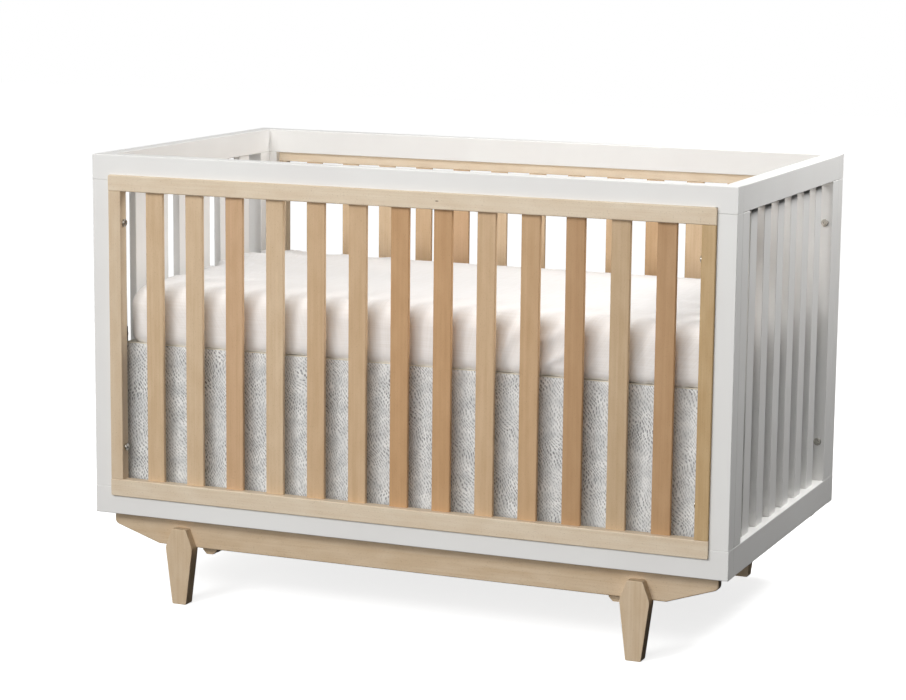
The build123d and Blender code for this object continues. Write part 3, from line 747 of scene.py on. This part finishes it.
# %% Cut the sheet a little loose
SHEET_STEP = 8.5 * MM
SHEET_CLOTH = 0.9 * MM
TUCK = 62 * MM
LOOSE = 2.2 * MM
sheet_half = (core_high.x - MM + LOOSE, core_high.y - MM + LOOSE)


def sheet_cut():
    """The sheet as it is pulled on: the mattress's outline grown by the slack."""
    low, high = core_low.z - 0.5 * MM, core_high.z + LOOSE
    corners = [(TUCK, low), (0, low), (0, high), (sheet_half[1], high)]
    radii = [LOWER_ROUND + LOOSE, UPPER_ROUND + LOOSE]
    length = TUCK + high - low + sheet_half[1] - (2 - np.pi / 2) * sum(radii)
    profile = rounded_path(corners, radii, int(round(length / SHEET_STEP)) + 1)
    return ring_grid(*sheet_half, CORNER + LOOSE, profile, SHEET_STEP)


# %% [markdown]
# ## Ridges of spare cloth
#
# Each patch of ridges has a middle, a reach along X, Y and Z, the direction across its folds, and
# the folds' spacing and height. The ridge itself is a power of one minus the size of a sine:
# a narrow crest between wide hollows, which is how thin cotton folds.

# %% Lay the ridges
RIDGES = (               # middle, reach, across the folds, spacing, height
    ((-0.64, 0.16, 0.68), (0.13, 0.19, 0.06), (0.18, 1.0, 0.3), 0.078, 19 * MM),
    ((-0.52, -0.18, 0.68), (0.14, 0.16, 0.05), (-0.5, 0.9, 0.0), 0.110, 9 * MM),
    ((-0.40, 0.25, 0.68), (0.12, 0.10, 0.05), (0.7, 0.7, 0.0), 0.120, 9 * MM),
    ((0.28, -0.35, 0.60), (0.10, 0.05, 0.05), (0.75, 0.0, -0.65), 0.046, 13 * MM),
    ((0.56, -0.35, 0.58), (0.11, 0.05, 0.045), (1.0, 0.0, 0.12), 0.050, 13 * MM),
    ((-0.20, -0.35, 0.58), (0.34, 0.05, 0.03), (1.0, 0.0, 0.25), 0.085, 7 * MM),
    ((0.62, 0.06, 0.67), (0.12, 0.26, 0.06), (-0.2, 1.0, 0.2), 0.095, 9 * MM),
    ((0.66, 0.00, 0.58), (0.05, 0.30, 0.05), (0.0, 1.0, 0.0), 0.070, 6 * MM),
    ((-0.66, 0.00, 0.58), (0.05, 0.30, 0.05), (0.0, 1.0, 0.0), 0.064, 6 * MM),
    ((0.10, 0.35, 0.59), (0.60, 0.05, 0.05), (1.0, 0.0, 0.2), 0.090, 5 * MM))


def ridge_height(points):
    """How far out the ridges lift each point, summed over the patches.

    In a patch it is the height, times a hill that is exp of minus the squared distance from the
    middle in reaches, times one minus the size of a sine across the folds, to the power 1.6. A
    slow sine of the place bends the folds a little."""
    total = np.zeros(points.shape[:-1])
    for middle, reach, across, spacing, height in RIDGES:
        hill = np.exp(-(((points - middle) / reach) ** 2).sum(-1))
        place = points @ (np.array(across) / np.linalg.norm(across))
        bend = 0.25 * np.sin(points.sum(-1) / (0.8 * spacing))
        total += height * hill * (1 - np.abs(np.sin(np.pi * (place / spacing + bend)))) ** 1.6
    return total


def outward(points):
    """Unit normals of a grid of points: the cross product of its steps along both ways."""
    normal = np.cross(np.gradient(points, axis=1), np.gradient(points, axis=0))
    normal /= np.maximum(np.linalg.norm(normal, axis=-1, keepdims=True), 1e-12)
    rows, columns = points.shape[:2]
    return normal * np.sign(normal[rows // 2, columns // 2, 2])


sheet_points, sheet_cloth = sheet_cut()
sheet_points += outward(sheet_points) * ridge_height(sheet_points)[..., None]
sheet = grid_mesh("fitted_sheet_cloth", sheet_points, sheet_cloth)
print("sheet", len(sheet.data.polygons), "squares")

# %% Let the sheet settle
HELD_ROWS = 6            # rows of the tucked-in edge that the elastic holds still
SETTLE_FRAMES = 16
MOST_MOVE = 4 * MM


def mesh_points(mesh):
    """The points of a mesh as an array with a row for each."""
    points = np.empty(3 * len(mesh.vertices))
    mesh.vertices.foreach_get("co", points)
    return points.reshape(-1, 3)


def rows_from_rim(rows, columns):
    """For each point of a grid, how many rows in from its nearest rim it lies."""
    down, across = np.meshgrid(np.arange(rows), np.arange(columns), indexing="ij")
    return np.minimum(np.minimum(down, rows - 1 - down),
                      np.minimum(across, columns - 1 - across)).ravel()


def settle(piece, body, rim_distance):
    """Runs Cloth on a piece over a solid body, and keeps the settled shape with no Cloth left.

    A point keeps at most a given move: a longer one is shortened to it."""
    solid = body.modifiers.new("solid", "COLLISION")
    body.collision.thickness_outer = 0.5 * MM
    body.collision.cloth_friction = 12.0
    held = piece.vertex_groups.new(name="held")
    held.add(np.flatnonzero(rim_distance < HELD_ROWS).tolist(), 1.0, "REPLACE")
    cloth = piece.modifiers.new("settling", "CLOTH")
    fabric, touch = cloth.settings, cloth.collision_settings
    fabric.quality = 5
    fabric.mass = 0.12
    fabric.tension_stiffness = fabric.compression_stiffness = 20.0
    fabric.shear_stiffness = 5.0
    fabric.bending_stiffness = 0.8
    fabric.effector_weights.gravity = 0.3
    fabric.air_damping = 1.5
    fabric.vertex_group_mass = held.name
    touch.distance_min = MM
    touch.use_self_collision = False
    cloth.point_cache.frame_end = SETTLE_FRAMES
    start = mesh_points(piece.data)
    for step in range(1, SETTLE_FRAMES + 1):
        bpy.context.scene.frame_set(step)
    settled = piece.evaluated_get(bpy.context.evaluated_depsgraph_get()).data
    move = mesh_points(settled) - start
    length = np.linalg.norm(move, axis=1, keepdims=True)
    move *= np.minimum(1, MOST_MOVE / np.maximum(length, 1e-9))
    piece.modifiers.remove(cloth)
    piece.vertex_groups.remove(held)
    body.modifiers.remove(solid)
    bpy.context.scene.frame_set(1)
    piece.data.vertices.foreach_set("co", (start + move).ravel())
    piece.data.update()
    print("settled", piece.name, "moved up to", round(float(length.max()) / MM, 1), "mm")


settle(sheet, mattress, rows_from_rim(*sheet_points.shape[:2]))

# %% Washed cotton
def plain_woven(name, pale, deep, slub_mm, sheen):
    """Plain-woven cotton: matt, with slubs, which are thicker threads that run both ways."""
    cotton = new_finish(name)
    cloth = add(cotton, "UVMap", uv_map="cloth")
    warp = add(cotton, "Mapping", {"Vector": cloth,
                                   "Scale": [per_metre(slub_mm), per_metre(85), 1.0]})
    warp = add(cotton, "TexNoise", {"Vector": warp, "Scale": 1.0, "Detail": 2.0})
    weft = add(cotton, "Mapping", {"Vector": cloth, "Location": (7.0, 7.0, 0.0),
                                   "Scale": [per_metre(85), per_metre(slub_mm), 1.0]})
    weft = add(cotton, "TexNoise", {"Vector": weft, "Scale": 1.0, "Detail": 2.0})
    slub = add(cotton, "Math", {0: warp, 1: weft}, operation="ADD")
    share = add(cotton, "MapRange", {"Value": slub, "From Min": 0.78, "From Max": 1.22})
    colour = add(cotton, "Mix", {"Factor": share, "A": light_of(pale), "B": light_of(deep)},
                 data_type="RGBA")
    relief = add(cotton, "Bump", {"Height": slub, "Strength": 0.3, "Distance": 0.3 * MM})
    shader = add(cotton, "BsdfPrincipled", {
        "Base Color": colour, "Normal": relief, "Roughness": 0.9, "IOR": 1.46,
        "Sheen Weight": sheen, "Sheen Roughness": 0.45})
    add(cotton, "OutputMaterial", {"Surface": shader})
    return cotton


# Slubs are about 0.8 mm thick. They are drawn at 2.2 mm so that they show.
sheet_cotton = plain_woven("washed_cotton_muslin", "F0EEED", "E8E5E2", 2.2, 0.2)
sheet.data.materials.append(sheet_cotton)
thicken(sheet, SHEET_CLOTH)
deck.data.materials.append(plain_woven("unbleached_deck_muslin", "E9E4D8", "DCD5C4", 1.6, 0.1))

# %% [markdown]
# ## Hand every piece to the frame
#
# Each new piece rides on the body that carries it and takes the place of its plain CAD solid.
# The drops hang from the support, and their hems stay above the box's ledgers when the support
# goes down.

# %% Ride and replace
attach(mattress, "bedding")
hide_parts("mattress")

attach(sheet, "bedding")
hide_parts("fitted_sheet")

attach(deck, "support")
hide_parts("skirt_deck")

for name, piece in drops.items():
    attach(piece, "support")
    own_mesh(piece)
    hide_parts(name)
print("handed over", 2 + 1 + len(drops), "soft pieces")

# %% [markdown]
# ## Studio
#
# A plain pale floor runs into a white background. A soft box in front to the left makes the
# slats throw soft shadows to the right on the sheet, and a broad one nearer the middle keeps
# those shadows pale. One overhead whitens the top edges, and a small one near the upper right
# makes the right end fade from light at its top to dull at its foot. The floor lights nothing:
# it is hidden from diffuse and glossy rays, so that the crib's base stays in shade.

# %% Floor and background
def flat_floor(reach=14.0):
    """A large plain floor, matt and almost white, that doesn't light the crib from below."""
    paper = new_finish("studio_floor")
    shader = add(paper, "BsdfPrincipled", {"Base Color": light_of("F2F2F1"), "Roughness": 0.9,
                                           "Emission Color": light_of("FFFFFF"),
                                           "Emission Strength": 0.76})
    add(paper, "OutputMaterial", {"Surface": shader})
    mesh = bpy.data.meshes.new("studio_floor")
    mesh.from_pydata([(-reach, -reach, 0), (reach, -reach, 0), (reach, reach, 0),
                      (-reach, reach, 0)], [], [(0, 1, 2, 3)])
    mesh.materials.append(paper)
    floor = bpy.data.objects.new("studio_floor", mesh)
    bpy.context.scene.collection.objects.link(floor)
    floor.visible_diffuse = floor.visible_glossy = False


def white_surround(seen, brightest, bright_side):
    """The background is white to the camera. It lights the scene with a weaker grey, which fades
    away from its bright side: the grey follows the cosine of the angle from that side."""
    world = bpy.data.worlds.new("white_surround")
    bpy.context.scene.world = world
    world.use_nodes = True
    world.node_tree.nodes.clear()
    place = add(world, "TexCoord").outputs["Generated"]
    cosine = add(world, "VectorMath", {0: place, 1: Vector(bright_side).normalized()},
                 operation="DOT_PRODUCT").outputs["Value"]
    grey = add(world, "MapRange", {"Value": cosine, "From Min": -0.5, "From Max": 1.0,
                                   "To Max": brightest})
    camera_ray = add(world, "LightPath").outputs["Is Camera Ray"]
    strength = add(world, "Mix", {"Factor": camera_ray, "A": grey, "B": seen}, data_type="FLOAT")
    background = add(world, "Background", {"Color": (1, 1, 1, 1), "Strength": strength})
    add(world, "OutputWorld", {"Surface": background})


flat_floor()
white_surround(seen=1.0, brightest=0.46, bright_side=(-0.75, 0.0, 0.65))


# %% Soft boxes
def soft_box(name, place, target, size, watts):
    """A square area light at a place, turned to face a target."""
    light = bpy.data.lights.new(name, "AREA")
    light.shape = "SQUARE"
    light.size = size
    light.energy = watts
    lamp = bpy.data.objects.new(name, light)
    lamp.location = place
    lamp.rotation_euler = (Vector(target) - Vector(place)).to_track_quat("-Z", "Y").to_euler()
    bpy.context.scene.collection.objects.link(lamp)


soft_box("key_soft_box", (-1.3, -3.8, 2.6), (0, 0, 0.5), 1.2, 64)
soft_box("front_soft_box", (0.5, -5.3, 1.7), (0, 0, 0.5), 3.2, 112)
soft_box("top_soft_box", (-0.5, 0.6, 4.2), (0, 0, 0.5), 3.0, 36)
soft_box("right_soft_box", (1.7, 0.5, 2.3), (0.7, 0.1, 0.6), 0.9, 46)

# %% [markdown]
# ## Camera
#
# A long lens looks from a little above the rail, about 23 degrees to the right of the front. The
# camera's own axes come from its angles, so nothing has to be aimed by hand.

# %% Set the camera
AZIMUTH, ELEVATION, ROLL = (math.radians(angle) for angle in (22.76, 9.49, 0.6))
CAMERA_TARGET = Vector((-0.044, 0.0, 0.524))
CAMERA_DISTANCE = 5.579


def camera_axes():
    """The camera's right, up and back directions as the columns of a matrix."""
    back = Vector((math.sin(AZIMUTH) * math.cos(ELEVATION),
                   -math.cos(AZIMUTH) * math.cos(ELEVATION), math.sin(ELEVATION)))
    level = Vector((0, 0, 1)).cross(back).normalized()
    upright = back.cross(level)
    right = math.cos(ROLL) * level + math.sin(ROLL) * upright
    up = math.cos(ROLL) * upright - math.sin(ROLL) * level
    return Matrix((right, up, back)).transposed()


lens = bpy.data.cameras.new("studio_camera")
lens.sensor_width = 36.0
lens.lens = 102.95
lens.clip_end = 100.0
camera = bpy.data.objects.new("studio_camera", lens)
axes = camera_axes()
eye = CAMERA_TARGET + CAMERA_DISTANCE * axes.col[2]
camera.matrix_world = Matrix.Translation(eye) @ axes.to_4x4()
bpy.context.scene.collection.objects.link(camera)
bpy.context.scene.camera = camera
bpy.context.scene.view_settings.view_transform = "Standard"
print("camera at", [round(c, 3) for c in camera.location])
